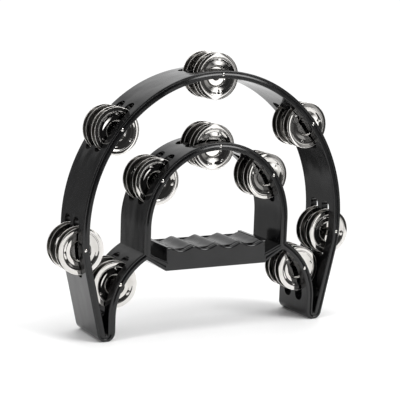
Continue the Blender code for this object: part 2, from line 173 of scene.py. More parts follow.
# The pressed form of a jingle, from its hole to its edge: radius, depth towards its partner, in mm.
JINGLE_FORM = [
    (3.6, 2.75),
    (5.5, 2.75),
    (7.3, 2.75),
    (7.5, 2.74),
    (7.8, 2.64),
    (8.05, 2.4),
    (8.35, 1.75),
    (8.6, 1.4),
    (8.9, 1.22),
    (9.2, 1.17),
    (9.4, 1.16),
    (10.8, 1.10),
    (12.0, 1.05),
    (12.2, 1.04),
    (12.35, 0.99),
    (12.5, 0.92),
    (12.7, 0.88),
    (13.0, 0.83),
    (13.3, 0.78),
    (13.6, 0.73),
    (13.9, 0.68),
    (14.2, 0.63),
    (14.5, 0.56),
    (14.7, 0.46),
    (14.9, 0.28),
    (15.1, 0.12),
    (15.3, 0.05),
    (15.5, 0.07),
    (15.65, 0.14),
    (15.75, 0.15),
    (15.95, 0.14),
    (16.2, 0.14),
    (16.8, 0.15),
    (17.6, 0.18),
    (18.2, 0.22),
    (18.5, 0.25),
    (18.7, 0.28),
]

# The camera: the azimuth is the heading it looks along, and the target is in the object's frame.
CAMERA_AZIMUTH = 28.47
CAMERA_ELEVATION = 10.0
CAMERA_ROLL = 1.97
CAMERA_DISTANCE = 1.064
CAMERA_TARGET = (-0.0053, 0.0, 0.1038)
CAMERA_LENS = 117.9
SENSOR_WIDTH = 36.0

# The floor.
FLOOR_RADIUS = 0.4
FLOOR_CENTRE = (-0.02, -0.23, 0.0)
FLOOR_SIDES = 96
FLOOR_GREY = 0.92
FLOOR_ROUGHNESS = 0.6

# The room's brightness round the object: azimuth from +Y towards +X in degrees, level.
ROOM_SCALE = 4.0
ROOM = [
    (-180.0, 0.05),
    (-150.0, 0.12),
    (-112.0, 0.1),
    (-109.0, 3.2),
    (-97.0, 3.2),
    (-94.0, 0.2),
    (-76.0, 0.2),
    (-66.0, 0.6),
    (-54.0, 0.6),
    (-46.0, 0.05),
    (-36.0, 0.05),
    (-33.5, 0.35),
    (-31.0, 0.08),
    (-27.5, 0.1),
    (-25.6, 0.5),
    (-24.4, 0.1),
    (-14.0, 0.08),
    (-4.0, 0.35),
    (8.0, 0.9),
    (20.0, 1.1),
    (55.0, 1.1),
    (70.0, 0.5),
    (138.0, 0.05),
    (144.0, 0.05),
    (144.4, 0.5),
    (147.6, 0.5),
    (148.0, 0.03),
    (149.4, 0.03),
    (149.8, 2.2),
    (152.4, 2.2),
    (152.8, 0.03),
    (180.0, 0.05),
]
# The ceiling, by the upward part of a direction.
OVERHEAD = 2.7
OVERHEAD_FROM = 0.8
OVERHEAD_TO = 0.9
# Soft boxes: azimuth, elevation, radius, level. Their borders fade over twice SOFT_BORDER.
SOFT_BOXES = [(138.0, 39.0, 15.0, 8.0), (-100.0, 30.0, 12.0, 2.0)]
SOFT_BORDER = 3.0
# What the camera sees behind the object.
BACKDROP_LEVEL = 1.05
# A dim card behind on the left.
CARD_PLACE = (-0.175, 0.44, 0.12)
CARD_WIDTH = 0.18
CARD_HEIGHT = 0.6
CARD_LEVEL = 0.32

# Materials: colour, then the lowest and highest roughness.
MOULDING_COLOUR = (0.003, 0.003, 0.0034)
MOULDING_ROUGHNESS = (0.12, 0.2)
MOULDING_GRAIN = 0.2
GRIP_COLOUR = (0.008, 0.008, 0.009)
GRIP_ROUGHNESS = (0.26, 0.38)
GRIP_GRAIN = 0.4
PLASTIC_IOR = 1.46
NICKEL_COLOURS = ((0.6, 0.585, 0.565), (0.54, 0.525, 0.5))
NICKEL_ROUGHNESS = (0.025, 0.055)
STEEL_COLOURS = ((0.8, 0.78, 0.75), (0.7, 0.68, 0.65))
STEEL_ROUGHNESS = (0.08, 0.16)
# Noise: the scales of marks, waves, grain, patches and smears, and the spans of noise in use.
HANDLED_SCALE = 60.0
WAVES_SCALE = 60.0
WAVES_STRETCH = (1.0, 1.0, 0.35)
WAVES_DISTANCE = 0.8 * MM
WAVES_STRENGTH = 0.45
GRAIN_SCALE = 2600.0
GRAIN_DISTANCE = 0.04 * MM
PATCH_SCALE = 120.0
SMEAR_SCALE = 90.0
NOISE_RANGE = (0.35, 0.7)
PATCH_RANGE = (0.4, 0.7)
# Metal as seen in other metal: extra roughness, and a painted shade that darkens its colour.
REPEATED_HAZE = 0.3
REPEATED_PAINTED_SHADE = 0.5
# The cut edge of a jingle: where it begins and ends, extra roughness, and a painted highlight that
# makes its colour lighter.
CUT_EDGE = (JINGLE_RADIUS - 0.45 * MM, JINGLE_RADIUS - 0.2 * MM)
EDGE_HAZE = 0.42
EDGE_PAINTED_HIGHLIGHT = 0.5
# Sockets of a Mix node that blends colours.
MIX_FIRST, MIX_SECOND, MIX_RESULT = 6, 7, 2


def polar(centre, radius, degrees):
    """The point at an angle on a circle in the XZ plane."""
    angle = math.radians(degrees)
    return (centre[0] + radius * math.cos(angle), centre[1] + radius * math.sin(angle))


def arc(centre, radius, start, end, steps):
    """Points along an arc, both ends included."""
    return [polar(centre, radius, start + (end - start) * i / steps) for i in range(steps + 1)]


def spread_arc(centre, first_radius, last_radius, start, end, steps):
    """Points along an arc whose radius changes evenly."""
    points = []
    for i in range(steps + 1):
        part = i / steps
        radius = first_radius + (last_radius - first_radius) * part
        points.append(polar(centre, radius, start + (end - start) * part))
    return points


def mirrored(points):
    """The same points reflected in the plane x = 0, in reverse order."""
    return [(-x, z) for x, z in reversed(points)]


def whole(right):
    """A closed loop from its right half, which starts and ends on the plane x = 0."""
    return right + mirrored(right[1:-1])


def moved(point, direction, distance):
    """A point moved along a direction."""
    return (point[0] + direction[0] * distance, point[1] + direction[1] * distance)


LEAN_OUT = (math.cos(math.radians(LEAN)), -math.sin(math.radians(LEAN)))
LEAN_DOWN = (-math.sin(math.radians(LEAN)), -math.cos(math.radians(LEAN)))
BEND_CENTRE = (ARCH_HALF_WIDTH - BEND_RADIUS, BEND_TOP_Z)
BEND_END = polar(BEND_CENTRE, BEND_RADIUS, -LEAN)


def foot_centre():
    """Centre of the foot's round tip, whose outer side is flush with the band's outer face."""
    start = moved(BEND_END, LEAN_OUT, HALF_BAND - FOOT_RADIUS)
    return moved(start, LEAN_DOWN, (FOOT_CENTRE_Z - start[1]) / LEAN_DOWN[1])


FOOT = foot_centre()
LEG_X = FOOT[0] - FOOT_RADIUS + HALF_BAND
LEG_CENTRE = (LEG_X - LEG_RADIUS, LEG_CENTRE_Z)


def gap_centre():
    """Centre of the round bottom of the V gap above the foot."""
    reach = HALF_BAND + GAP_RADIUS
    along = BEND_END[0] * LEAN_OUT[0] + BEND_END[1] * LEAN_OUT[1] - reach
    x = LEG_X + reach
    return (x, (along - x * LEAN_OUT[0]) / LEAN_OUT[1])


def ellipse_point(degrees, offset=0.0):
    """A point on the outer arch, measured from the top, moved out along its normal."""
    angle = math.radians(degrees)
    x = ARCH_HALF_WIDTH * math.sin(angle)
    z = ARCH_BASE_Z + ARCH_RISE * math.cos(angle)
    normal = Vector((math.sin(angle) / ARCH_HALF_WIDTH, math.cos(angle) / ARCH_RISE))
    normal.normalize()
    return (x + normal.x * offset, z + normal.y * offset)


def outer_side(offset):
    """Right half of one face of the outer band, from the top to the end of the bend."""
    over_top = [ellipse_point(90.0 * i / ARCH_STEPS, offset) for i in range(ARCH_STEPS + 1)]
    return over_top + arc(BEND_CENTRE, BEND_RADIUS + offset, 0.0, -LEAN, BEND_STEPS)


def gusset_z(x, upper, inset=0.0):
    """Height at x of the gusset's upper or lower face."""
    side = 0 if upper else 1
    shift = -inset if upper else inset
    low, high = GUSSET_AT_HANDLE[side] + shift, GUSSET_AT_WALL[side] + shift
    wall_x = INNER_RADIUS - HALF_BAND if upper else INNER_RADIUS
    return low + (high - low) * (x - HANDLE_HALF) / (wall_x - HANDLE_HALF)


def leg_under_angle(inset):
    """Angle on the leg's lower face where the gusset's lower face meets it."""
    low, high = LEG_UNDER_RANGE
    for _ in range(HALVINGS):
        middle = (low + high) / 2
        x, z = polar(LEG_CENTRE, LEG_RADIUS - HALF_BAND + inset, middle)
        if z < gusset_z(x, False, inset):
            low = middle
        else:
            high = middle
    return low


def wave_points(lower=0.0, half_width=WAVE_LENGTH * WAVE_COUNT / 2):
    """Right half of the wavy top edge, from the middle crest outwards."""
    count = WAVE_STEPS * WAVE_COUNT // 2
    points = []
    for i in range(count + 1):
        x = half_width * i / count
        dip = WAVE_DEPTH * abs(math.sin(math.pi * x / WAVE_LENGTH)) ** WAVE_SHARPNESS
        points.append((x, CREST_Z - dip - lower))
    return points


def outside_loop(outer, inner, handle):
    """The moulding's outside border, inset by one amount along the arch and another under the legs.

    handle gives the right half of what closes it inside.
    """
    if outer > 0.0:
        start, end = FOOT_RADIUS - outer, FOOT_RADIUS - inner
        tip = spread_arc(FOOT, start, end, -LEAN, -180.0, FOOT_STEPS)
    else:
        flat = math.degrees(math.asin(FOOT_CENTRE_Z / FOOT_RADIUS))
        tip = arc(FOOT, FOOT_RADIUS, -LEAN, -flat, FOOT_STEPS // 2)
        tip += arc(FOOT, FOOT_RADIUS, flat - 180.0, -180.0, FOOT_STEPS // 2)
    under = leg_under_angle(inner)
    leg = arc(LEG_CENTRE, LEG_RADIUS - HALF_BAND + inner, 0.0, under, LEG_STEPS)
    return whole(outer_side(HALF_BAND - outer) + tip + leg + handle)


def gap_loop(outer, inner):
    """The border of the gap between the arches, which runs down into both feet."""
    leg_out = LEG_RADIUS + HALF_BAND - outer
    inner_out = INNER_RADIUS + HALF_BAND - outer
    kink = math.degrees(math.acos((inner_out - LEG_CENTRE[0]) / leg_out))
    start, end = GAP_RADIUS + inner, GAP_RADIUS + outer
    foot = spread_arc(gap_centre(), start, end, -LEAN, -180.0, GAP_STEPS)
    leg = arc(LEG_CENTRE, leg_out, 0.0, kink, LEG_STEPS)
    arch = arc(INNER_CENTRE, inner_out, 0.0, 90.0, INNER_STEPS)
    return whole(outer_side(inner - HALF_BAND) + foot + leg + arch)


def inner_side(inset):
    """Right half of the inner arch's inner face, from the top to the gusset."""
    inner_in = INNER_RADIUS - HALF_BAND + inset
    end = (inner_in, gusset_z(inner_in, True, inset))
    return arc(INNER_CENTRE, inner_in, 90.0, 0.0, INNER_STEPS) + [end]


def hand_loop():
    """The border of the hand opening above the handle."""
    side = [(HANDLE_HALF, GUSSET_AT_HANDLE[0]), (HANDLE_HALF, CREST_Z)]
    return whole(inner_side(0.0) + side + wave_points()[::-1])


def body_loops():
    """The moulding's front view: one border round it and two inside it."""
    handle = [(HANDLE_HALF, HANDLE_BOTTOM), (0.0, HANDLE_BOTTOM)]
    return [outside_loop(0.0, 0.0, handle), gap_loop(0.0, 0.0), hand_loop()]


def channel_loops(outer, inner):
    """The sunk channel at one depth: it follows the bands and stops at the ends of the handle."""
    end = HANDLE_HALF + CHANNEL_END
    gusset = [(end, gusset_z(end, False, inner)), (end, gusset_z(end, True, inner))]
    inside = gusset + inner_side(inner)[::-1]
    return [outside_loop(outer, inner, inside), gap_loop(outer, inner)]


def rear_rim_loop():
    """What is cut off the tray's rear wall so that its rim stays below the grip."""
    top = CREST_Z + REAR_RIM_DROP
    end = HANDLE_HALF + REAR_RIM_REACH
    right = wave_points(REAR_RIM_DROP) + [(end, CREST_Z - REAR_RIM_DROP / 2), (end, top)]
    return right + mirrored(right[1:])


def grip_loop():
    """Front view of the grip: the same waves on top and a flat bottom."""
    low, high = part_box("handle_grip")
    right = wave_points(0.0, high[0]) + [(high[0], low[2])]
    return right + mirrored(right[1:])


def link(name, mesh):
    """A mesh object in the scene."""
    piece = bpy.data.objects.new(name, mesh)
    bpy.context.scene.collection.objects.link(piece)
    return piece


def evaluated_mesh(piece):
    """The mesh of an object with its modifiers applied. The object is removed."""
    evaluated = piece.evaluated_get(bpy.context.evaluated_depsgraph_get())
    mesh = bpy.data.meshes.new_from_object(evaluated)
    bpy.data.objects.remove(piece)
    return mesh


def outline_object(name, loops, half_depth, centre_y=0.0):
    """Outlines filled, extruded and stood upright, facing along Y."""
    curve = bpy.data.curves.new(name, "CURVE")
    curve.dimensions = "2D"
    curve.fill_mode = "BOTH"
    curve.extrude = half_depth
    for loop in loops:
        spline = curve.splines.new("POLY")
        spline.points.add(len(loop) - 1)
        for point, (x, z) in zip(spline.points, loop):
            point.co = (x, z, 0.0, 1.0)
        spline.use_cyclic_u = True
    mesh = evaluated_mesh(link(name + "_curve", curve))
    work = bmesh.new()
    work.from_mesh(mesh)
    bmesh.ops.remove_doubles(work, verts=work.verts, dist=MERGE_DISTANCE)
    flat = math.radians(FLAT_ANGLE)
    bmesh.ops.dissolve_limit(work, angle_limit=flat, verts=work.verts, edges=work.edges)
    bmesh.ops.recalc_face_normals(work, faces=work.faces)
    bmesh.ops.rotate(work, matrix=Matrix.Rotation(math.pi / 2, 3, "X"), verts=work.verts)
    bmesh.ops.translate(work, vec=(0.0, centre_y, 0.0), verts=work.verts)
    work.to_mesh(mesh)
    work.free()
    return link(name, mesh)


def channel_cutter(side):
    """The channel's cutter on one face: stacked outlines, skinned and capped."""
    work = bmesh.new()
    rings = []
    for depth, outer, inner in CHANNEL:
        y = side * (HALF_DEPTH - depth * MM)
        loops = channel_loops(outer * MM, inner * MM)
        rings.append([[work.verts.new((x, y, z)) for x, z in loop] for loop in loops])
    for ring, deeper in zip(rings, rings[1:]):
        for loop, below in zip(ring, deeper):
            for i in range(len(loop)):
                work.faces.new((loop[i - 1], loop[i], below[i], below[i - 1]))
    for ring in (rings[0], rings[-1]):
        pairs = [(loop[i - 1], loop[i]) for loop in ring for i in range(len(loop))]
        edges = [work.edges.get(pair) for pair in pairs]
        bmesh.ops.triangle_fill(work, use_beauty=True, edges=edges)
    bmesh.ops.recalc_face_normals(work, faces=work.faces)
    mesh = bpy.data.meshes.new("channel")
    work.to_mesh(mesh)
    work.free()
    return link("channel", mesh)


def bevel(piece, width, segments, angle=40.0, clamp=False):
    """Round the sharp edges of a piece."""
    modifier = piece.modifiers.new("edges", "BEVEL")
    modifier.width = width
    modifier.segments = segments
    modifier.limit_method = "ANGLE"
    modifier.angle_limit = math.radians(angle)
    modifier.use_clamp_overlap = clamp


def round_borders(piece):
    """Round the moulding's borders on both faces, more round the handle and its gussets."""
    mesh = piece.data
    weights = mesh.attributes.new("bevel_weight_edge", "FLOAT", "EDGE")
    for edge in mesh.edges:
        first, last = (mesh.vertices[i].co for i in edge.vertices)
        if abs(first.y - last.y) > HALF_DEPTH:
            continue
        middle = (first + last) / 2
        inside = abs(middle.x) < INNER_RADIUS - HALF_BAND
        on_handle = inside and middle.z < CREST_Z + CREST_MARGIN
        weights.data[edge.index].value = 1.0 if on_handle else EDGE_BEVEL / HANDLE_BEVEL
    modifier = piece.modifiers.new("borders", "BEVEL")
    modifier.width = HANDLE_BEVEL
    modifier.segments = BORDER_SEGMENTS
    modifier.limit_method = "WEIGHT"
    modifier.use_clamp_overlap = False


def flatten_shading(piece):
    """Keep large flat faces flat where rounded edges meet them."""
    modifier = piece.modifiers.new("normals", "WEIGHTED_NORMAL")
    modifier.keep_sharp = True
    modifier.weight = FACE_WEIGHT


def cut(piece, cutters):
    """Take cutters away from a piece, all in one go."""
    group = bpy.data.collections.new("cutters")
    for cutter in cutters:
        group.objects.link(cutter)
    modifier = piece.modifiers.new("cut", "BOOLEAN")
    modifier.operation = "DIFFERENCE"
    modifier.solver = "EXACT"
    modifier.operand_type = "COLLECTION"
    modifier.collection = group


def box_cutter(low, high):
    """A box between two corners."""
    work = bmesh.new()
    bmesh.ops.create_cube(work, size=1.0)
    bmesh.ops.scale(work, vec=[b - a for a, b in zip(low, high)], verts=work.verts)
    bmesh.ops.translate(work, vec=[(a + b) / 2 for a, b in zip(low, high)], verts=work.verts)
    mesh = bpy.data.meshes.new("box")
    work.to_mesh(mesh)
    work.free()
    return link("box", mesh)


def slot_loop(reach_up, reach_down):
    """A slot's outline, with X along the band."""
    side = SLOT_HALF_WIDTH - SLOT_CORNER
    top = reach_up - SLOT_CORNER
    bottom = SLOT_CORNER - reach_down
    corners = [(top, -side, -90), (top, side, 0), (bottom, side, 90), (bottom, -side, 180)]
    points = []
    for x, y, start in corners:
        points += arc((x, y), SLOT_CORNER, start, start + 90, SLOT_CORNER_STEPS)
    return points


def centre(node):
    """Centre of a CAD node's box."""
    low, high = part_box(node)
    return (Vector(low) + Vector(high)) / 2


def band_angle(name, point):
    """How far the band's direction at a pin is turned from +X towards +Z, in degrees."""
    side = -1.0 if point.x < 0 else 1.0
    x, z = abs(point.x), point.z
    if name.endswith("top"):
        return 0.0
    if name.startswith("leg"):
        turn = math.degrees(math.atan2(z - LEG_CENTRE[1], x - LEG_CENTRE[0])) + 90.0
    elif name.startswith("inner"):
        turn = math.degrees(math.atan2(z - INNER_CENTRE[1], x)) + 90.0
    elif z < ARCH_BASE_Z:
        turn = math.degrees(math.atan2(z - BEND_CENTRE[1], x - BEND_CENTRE[0])) + 90.0
    else:
        across, up = x / ARCH_HALF_WIDTH**2, (z - ARCH_BASE_Z) / ARCH_RISE**2
        turn = math.degrees(math.atan2(up, across)) + 90.0
    return turn if side > 0 else 180.0 - turn


def leg_sector(left):
    """A block that holds one leg and nothing of the arch beside it."""
    reach = HALF_BAND + LEG_SECTOR_MARGIN
    low, high = LEG_SECTOR
    loop = arc(LEG_CENTRE, LEG_RADIUS + reach, low, high, LEG_SECTOR_STEPS)
    loop += arc(LEG_CENTRE, LEG_RADIUS - reach, high, low, LEG_SECTOR_STEPS)
    return outline_object("leg_sector", [mirrored(loop) if left else loop], 2 * HALF_DEPTH)


def kept_within(piece, block):
    """The part of a piece that lies inside a block. Both are used up."""
    modifier = piece.modifiers.new("within", "BOOLEAN")
    modifier.operation = "INTERSECT"
    modifier.solver = "EXACT"
    modifier.object = block
    mesh = evaluated_mesh(piece)
    bpy.data.objects.remove(block)
    return link("kept", mesh)


def station_cutters(name):
    """Cutters for the two slots and the pin hole of one pin."""
    point = centre("pin_" + name)
    on_leg = name.startswith("leg")
    reach = (LEG_SLOT_UP, LEG_SLOT_DOWN) if on_leg else (SLOT_REACH, SLOT_REACH)
    turn = Matrix.Rotation(-math.radians(band_angle(name, point)), 4, "Y")
    lie_flat = Matrix.Rotation(-math.pi / 2, 4, "X")
    cutters = []
    for side in (-1, 1):
        slot = outline_object("slot", [slot_loop(*reach)], 3 * BAND)
        slot.data.transform(lie_flat)
        slot.data.transform(Matrix.Translation((point.x, side * SLOT_OFFSET, point.z)) @ turn)
        if on_leg:
            slot = kept_within(slot, leg_sector(point.x < 0.0))
        cutters.append(slot)
    work = bmesh.new()
    bmesh.ops.create_cone(
        work,
        cap_ends=True,
        segments=PIN_HOLE_SIDES,
        radius1=PIN_HOLE_RADIUS,
        radius2=PIN_HOLE_RADIUS,
        depth=3 * HALF_DEPTH,
    )
    mesh = bpy.data.meshes.new("pin_hole")
    work.to_mesh(mesh)
    work.free()
    hole = link("pin_hole", mesh)
    hole.location = (point.x, 0.0, point.z)
    hole.rotation_euler = (math.pi / 2, 0.0, 0.0)
    return cutters + [hole]


def smooth(mesh, angle):
    """Shade a mesh smooth, with edges sharper than an angle kept sharp."""
    mesh.shade_smooth()
    mesh.set_sharp_from_angle(angle=math.radians(angle))


def make_shell(material):
    """The black moulding: both arches, both legs, the feet and the handle tray in one piece."""
    shell = outline_object("moulded_frame", body_loops(), HALF_DEPTH)
    round_borders(shell)
    cutters = [channel_cutter(-1.0), channel_cutter(1.0)]
    inside_x = HANDLE_HALF - TRAY_WALL
    inside_y = HALF_DEPTH - TRAY_WALL
    low = (-inside_x, -inside_y, HANDLE_BOTTOM + TRAY_WALL)
    high = (inside_x, inside_y, CREST_Z + TRAY_WALL)
    cutters.append(box_cutter(low, high))
    cutters.append(outline_object("rear_rim", [rear_rim_loop()], REAR_RIM_DEPTH, HALF_DEPTH))
    for name in STATIONS:
        cutters += station_cutters(name)
    cut(shell, cutters)
    bevel(shell, SMALL_BEVEL, SMALL_BEVEL_SEGMENTS, SMALL_BEVEL_ANGLE, clamp=True)
    mesh = evaluated_mesh(shell)
    for cutter in cutters:
        bpy.data.objects.remove(cutter)
    smooth(mesh, SHELL_SMOOTH_ANGLE)
    mesh.materials.append(material)
    piece = link("moulded_frame", mesh)
    flatten_shading(piece)
    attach(piece, BODY)
    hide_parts(*FRAME_NODES)


def make_grip(material):
    """The wavy grip that lies in the tray."""
    low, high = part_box("handle_grip")
    grip = outline_object("wavy_grip", [grip_loop()], (high[1] - low[1]) / 2)
    bevel(grip, GRIP_BEVEL, GRIP_BEVEL_SEGMENTS)
    mesh = evaluated_mesh(grip)
    smooth(mesh, GRIP_SMOOTH_ANGLE)
    mesh.materials.append(material)
    piece = link("wavy_grip", mesh)
    flatten_shading(piece)
    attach(piece, BODY)
    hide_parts("handle_grip")


def turned_mesh(name, profile, sides):
    """A profile of (radius, height) points turned about Z."""
    mesh = bpy.data.meshes.new(name)
    count = len(profile)
    vertices = [(radius, 0.0, height) for radius, height in profile]
    closed = profile[0][0] > 0.0
    edges = [(i, (i + 1) % count) for i in range(count if closed else count - 1)]
    mesh.from_pydata(vertices, edges, [])
    holder = link(name + "_profile", mesh)
    screw = holder.modifiers.new("turn", "SCREW")
    screw.steps = sides
    screw.render_steps = sides
    screw.use_merge_vertices = True
    screw.merge_threshold = TURN_MERGE
    turned = evaluated_mesh(holder)
    work = bmesh.new()
    work.from_mesh(turned)
    bmesh.ops.recalc_face_normals(work, faces=work.faces)
    work.to_mesh(turned)
    work.free()
    turned.name = name
    return turned


def pin_mesh(material):
    """A pin with a domed head at both ends, lying along Z."""
    dome = HALF_DEPTH - PIN_HEAD_SUNK - PIN_HEAD_BASE
    upper = []
    for degrees in range(0, 91, PIN_HEAD_STEP):
        angle = math.radians(degrees)
        upper.append((PIN_HEAD_RADIUS * math.sin(angle), PIN_HEAD_BASE + dome * math.cos(angle)))
    upper.append((PIN_RADIUS, PIN_HEAD_BASE))
    lower = [(radius, -height) for radius, height in reversed(upper)]
    profile = upper + lower
    profile[0] = (0.0, profile[0][1])
    profile[-1] = (0.0, profile[-1][1])
    mesh = turned_mesh("pin", profile, PIN_SIDES)
    smooth(mesh, PIN_SMOOTH_ANGLE)
    mesh.materials.append(material)
    return mesh


def make_pins(material):
    """One pin at each station."""
    mesh = pin_mesh(material)
    for name in STATIONS:
        pin = link("steel_pin_" + name, mesh)
        place = centre("pin_" + name)
        pin.location = (place.x, 0.0, place.z)
        pin.rotation_euler = (math.pi / 2, 0.0, 0.0)
        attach(pin, BODY)
        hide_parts("pin_" + name)


def jingle_profile():
    """The sheet's closed section: its outer face, its rounded edge and its inner face."""
    form = [(radius * MM, depth * MM) for radius, depth in JINGLE_FORM]
    half = JINGLE_THICKNESS / 2
    outer, inner = [], []
    for i, (radius, depth) in enumerate(form):
        before = form[max(i - 1, 0)]
        after = form[min(i + 1, len(form) - 1)]
        along = Vector((after[0] - before[0], after[1] - before[1])).normalized()
        outer.append((radius + along.y * half, depth - along.x * half))
        inner.append((radius - along.y * half, depth + along.x * half))
    near, depth = JINGLE_RADIUS - JINGLE_EDGE_ROUND, form[-1][1]
    rise = half * JINGLE_EDGE_SHARE
    edge = [(near, depth - rise), (JINGLE_RADIUS, depth), (near, depth + rise)]
    return outer + edge + inner[::-1]


def jingle_mesh(material, spin):
    """A pressed jingle lying in the XY plane, its cup rising along +Z, with three small dimples."""
    mesh = turned_mesh("jingle", jingle_profile(), JINGLE_SIDES)
    for vertex in mesh.vertices:
        for i in range(DIMPLE_COUNT):
            turn = spin + 360.0 * i / DIMPLE_COUNT
            x, y = polar((0.0, 0.0), DIMPLE_REACH * JINGLE_RADIUS, turn)
            away = math.hypot(vertex.co.x - x, vertex.co.y - y) / DIMPLE_SIZE
            vertex.co.z -= DIMPLE_HEIGHT * math.exp(-away * away)
    smooth(mesh, JINGLE_SMOOTH_ANGLE)
    mesh.materials.append(material)
    return mesh


def make_jingles(material):
    """Four jingles on each pin, cups facing inwards in pairs."""
    discs = [jingle_mesh(material, spin) for spin in JINGLE_SPINS]
    for station_index, name in enumerate(STATIONS):
        for number in range(1, JINGLES_PER_PIN + 1):
            node = "jingle_" + name + "_" + str(number)
            low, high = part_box(node)
            cup_back = number % 2 == 1
            disc = discs[(JINGLES_PER_PIN * station_index + number) % len(discs)]
            jingle = link("pressed_" + node, disc)
            half = JINGLE_THICKNESS / 2
            rim_y = low[1] + half if cup_back else high[1] - half
            pin = centre("pin_" + name)
            jingle.location = (pin.x, rim_y, JINGLE_CENTRE_RISE + pin.z)
            jingle.rotation_euler = (-math.pi / 2 if cup_back else math.pi / 2, 0.0, 0.0)
            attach(jingle, node)
            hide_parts(node)


def new_material(name):
    """A material, its node tree and its Principled shader."""
    material = bpy.data.materials.new(name)
    material.use_nodes = True
    tree = material.node_tree
    return material, tree, tree.nodes["Principled BSDF"]


def maths(tree, operation, *values):
    """A maths node on sockets or numbers."""
    node = tree.nodes.new("ShaderNodeMath")
    node.operation = operation
    for socket, value in zip(node.inputs, values):
        if isinstance(value, (int, float)):
            socket.default_value = value
        else:
            tree.links.new(value, socket)
    return node.outputs["Value"]


def add_noise(tree, scale, detail, stretch=(1.0, 1.0, 1.0)):
    """A noise texture on object coordinates."""
    where = tree.nodes.new("ShaderNodeTexCoord")
    mapping = tree.nodes.new("ShaderNodeMapping")
    mapping.inputs["Scale"].default_value = stretch
    noise = tree.nodes.new("ShaderNodeTexNoise")
    noise.inputs["Scale"].default_value = scale
    noise.inputs["Detail"].default_value = detail
    tree.links.new(where.outputs["Object"], mapping.inputs["Vector"])
    tree.links.new(mapping.outputs["Vector"], noise.inputs["Vector"])
    return noise.outputs["Fac"]


def add_range(tree, value, source, target=(0.0, 1.0)):
    """Map a value smoothly from one (low, high) range to another."""
    node = tree.nodes.new("ShaderNodeMapRange")
    node.interpolation_type = "SMOOTHSTEP"
    for socket, number in zip(("From Min", "From Max", "To Min", "To Max"), (*source, *target)):
        node.inputs[socket].default_value = number
    tree.links.new(value, node.inputs["Value"])
    return node.outputs["Result"]


def add_bump(tree, height, distance, strength, below=None):
    """A bump from a height value, on top of another bump if one is given."""
    node = tree.nodes.new("ShaderNodeBump")
    node.inputs["Distance"].default_value = distance
    node.inputs["Strength"].default_value = strength
    tree.links.new(height, node.inputs["Height"])
    if below is not None:
        tree.links.new(below, node.inputs["Normal"])
    return node.outputs["Normal"]


def plastic(name, colour, roughness, grain):
    """Moulded black plastic: a fine grain, slow waves in the surface and faint handling marks."""
    material, tree, shader = new_material(name)
    shader.inputs["Base Color"].default_value = (*colour, 1.0)
    shader.inputs["IOR"].default_value = PLASTIC_IOR
    handled = add_range(tree, add_noise(tree, HANDLED_SCALE, detail=6.0), NOISE_RANGE, roughness)
    tree.links.new(handled, shader.inputs["Roughness"])
    slow = add_noise(tree, WAVES_SCALE, detail=1.0, stretch=WAVES_STRETCH)
    waves = add_bump(tree, slow, WAVES_DISTANCE, WAVES_STRENGTH)
    fine = add_noise(tree, GRAIN_SCALE, detail=2.0)
    surface = add_bump(tree, fine, GRAIN_DISTANCE, grain, below=waves)
    tree.links.new(surface, shader.inputs["Normal"])
    return material


def add_mix(tree, value, first, second):
    """Blend two colours by a value."""
    node = tree.nodes.new("ShaderNodeMix")
    node.data_type = "RGBA"
    tree.links.new(value, node.inputs["Factor"])
    node.inputs[MIX_FIRST].default_value = (*first, 1.0)
    node.inputs[MIX_SECOND].default_value = (*second, 1.0)
    return node.outputs[MIX_RESULT]


def add_scaled(tree, colour, factor):
    """A colour times a factor."""
    node = tree.nodes.new("ShaderNodeVectorMath")
    node.operation = "SCALE"
    tree.links.new(colour, node.inputs[0])
    tree.links.new(factor, node.inputs["Scale"])
    return node.outputs["Vector"]


def add_edge(tree):
    """1 at the cut edge of a jingle and 0 on its faces."""
    where = tree.nodes.new("ShaderNodeTexCoord")
    flat = tree.nodes.new("ShaderNodeVectorMath")
    flat.operation = "MULTIPLY"
    flat.inputs[1].default_value = (1.0, 1.0, 0.0)
    tree.links.new(where.outputs["Object"], flat.inputs[0])
    radius = tree.nodes.new("ShaderNodeVectorMath")
    radius.operation = "LENGTH"
    tree.links.new(flat.outputs["Vector"], radius.inputs[0])
    return add_range(tree, radius.outputs["Value"], CUT_EDGE)


def metal(name, colours, roughness, matt_edge_and_painted_highlight=False):
    """Bright plated metal with faint smears and duller patches, darkened by painted shade where it
    is seen in reflections. A cut edge is matt, and lighter by a painted highlight.
    """
    material, tree, shader = new_material(name)
    shader.inputs["Metallic"].default_value = 1.0
    patches = add_range(tree, add_noise(tree, PATCH_SCALE, detail=4.0), PATCH_RANGE)
    smears = add_range(tree, add_noise(tree, SMEAR_SCALE, detail=5.0), NOISE_RANGE, roughness)
    repeated = tree.nodes.new("ShaderNodeLightPath").outputs["Is Glossy Ray"]
    # Painted shade: metal seen in a reflection has its colour darkened, so the jingles look darker
    # in each other.
    kept = maths(tree, "SUBTRACT", 1.0, maths(tree, "MULTIPLY", repeated, REPEATED_PAINTED_SHADE))
    colour = add_scaled(tree, add_mix(tree, patches, *colours), kept)
    rough = maths(tree, "ADD", smears, maths(tree, "MULTIPLY", repeated, REPEATED_HAZE))
    if matt_edge_and_painted_highlight:
        edge = add_edge(tree)
        rough = maths(tree, "ADD", rough, maths(tree, "MULTIPLY", edge, EDGE_HAZE))
        # Painted highlight: the edge's colour is made lighter.
        painted_highlight = maths(tree, "ADD", 1.0, maths(tree, "MULTIPLY", edge, EDGE_PAINTED_HIGHLIGHT))
        colour = add_scaled(tree, colour, painted_highlight)
    tree.links.new(colour, shader.inputs["Base Color"])
    tree.links.new(rough, shader.inputs["Roughness"])
    return material


def floor_material():
    """A plain pale floor."""
    material, tree, shader = new_material("pale_floor")
    shader.inputs["Base Color"].default_value = (FLOOR_GREY, FLOOR_GREY, FLOOR_GREY, 1.0)
    shader.inputs["Roughness"].default_value = FLOOR_ROUGHNESS
    return material


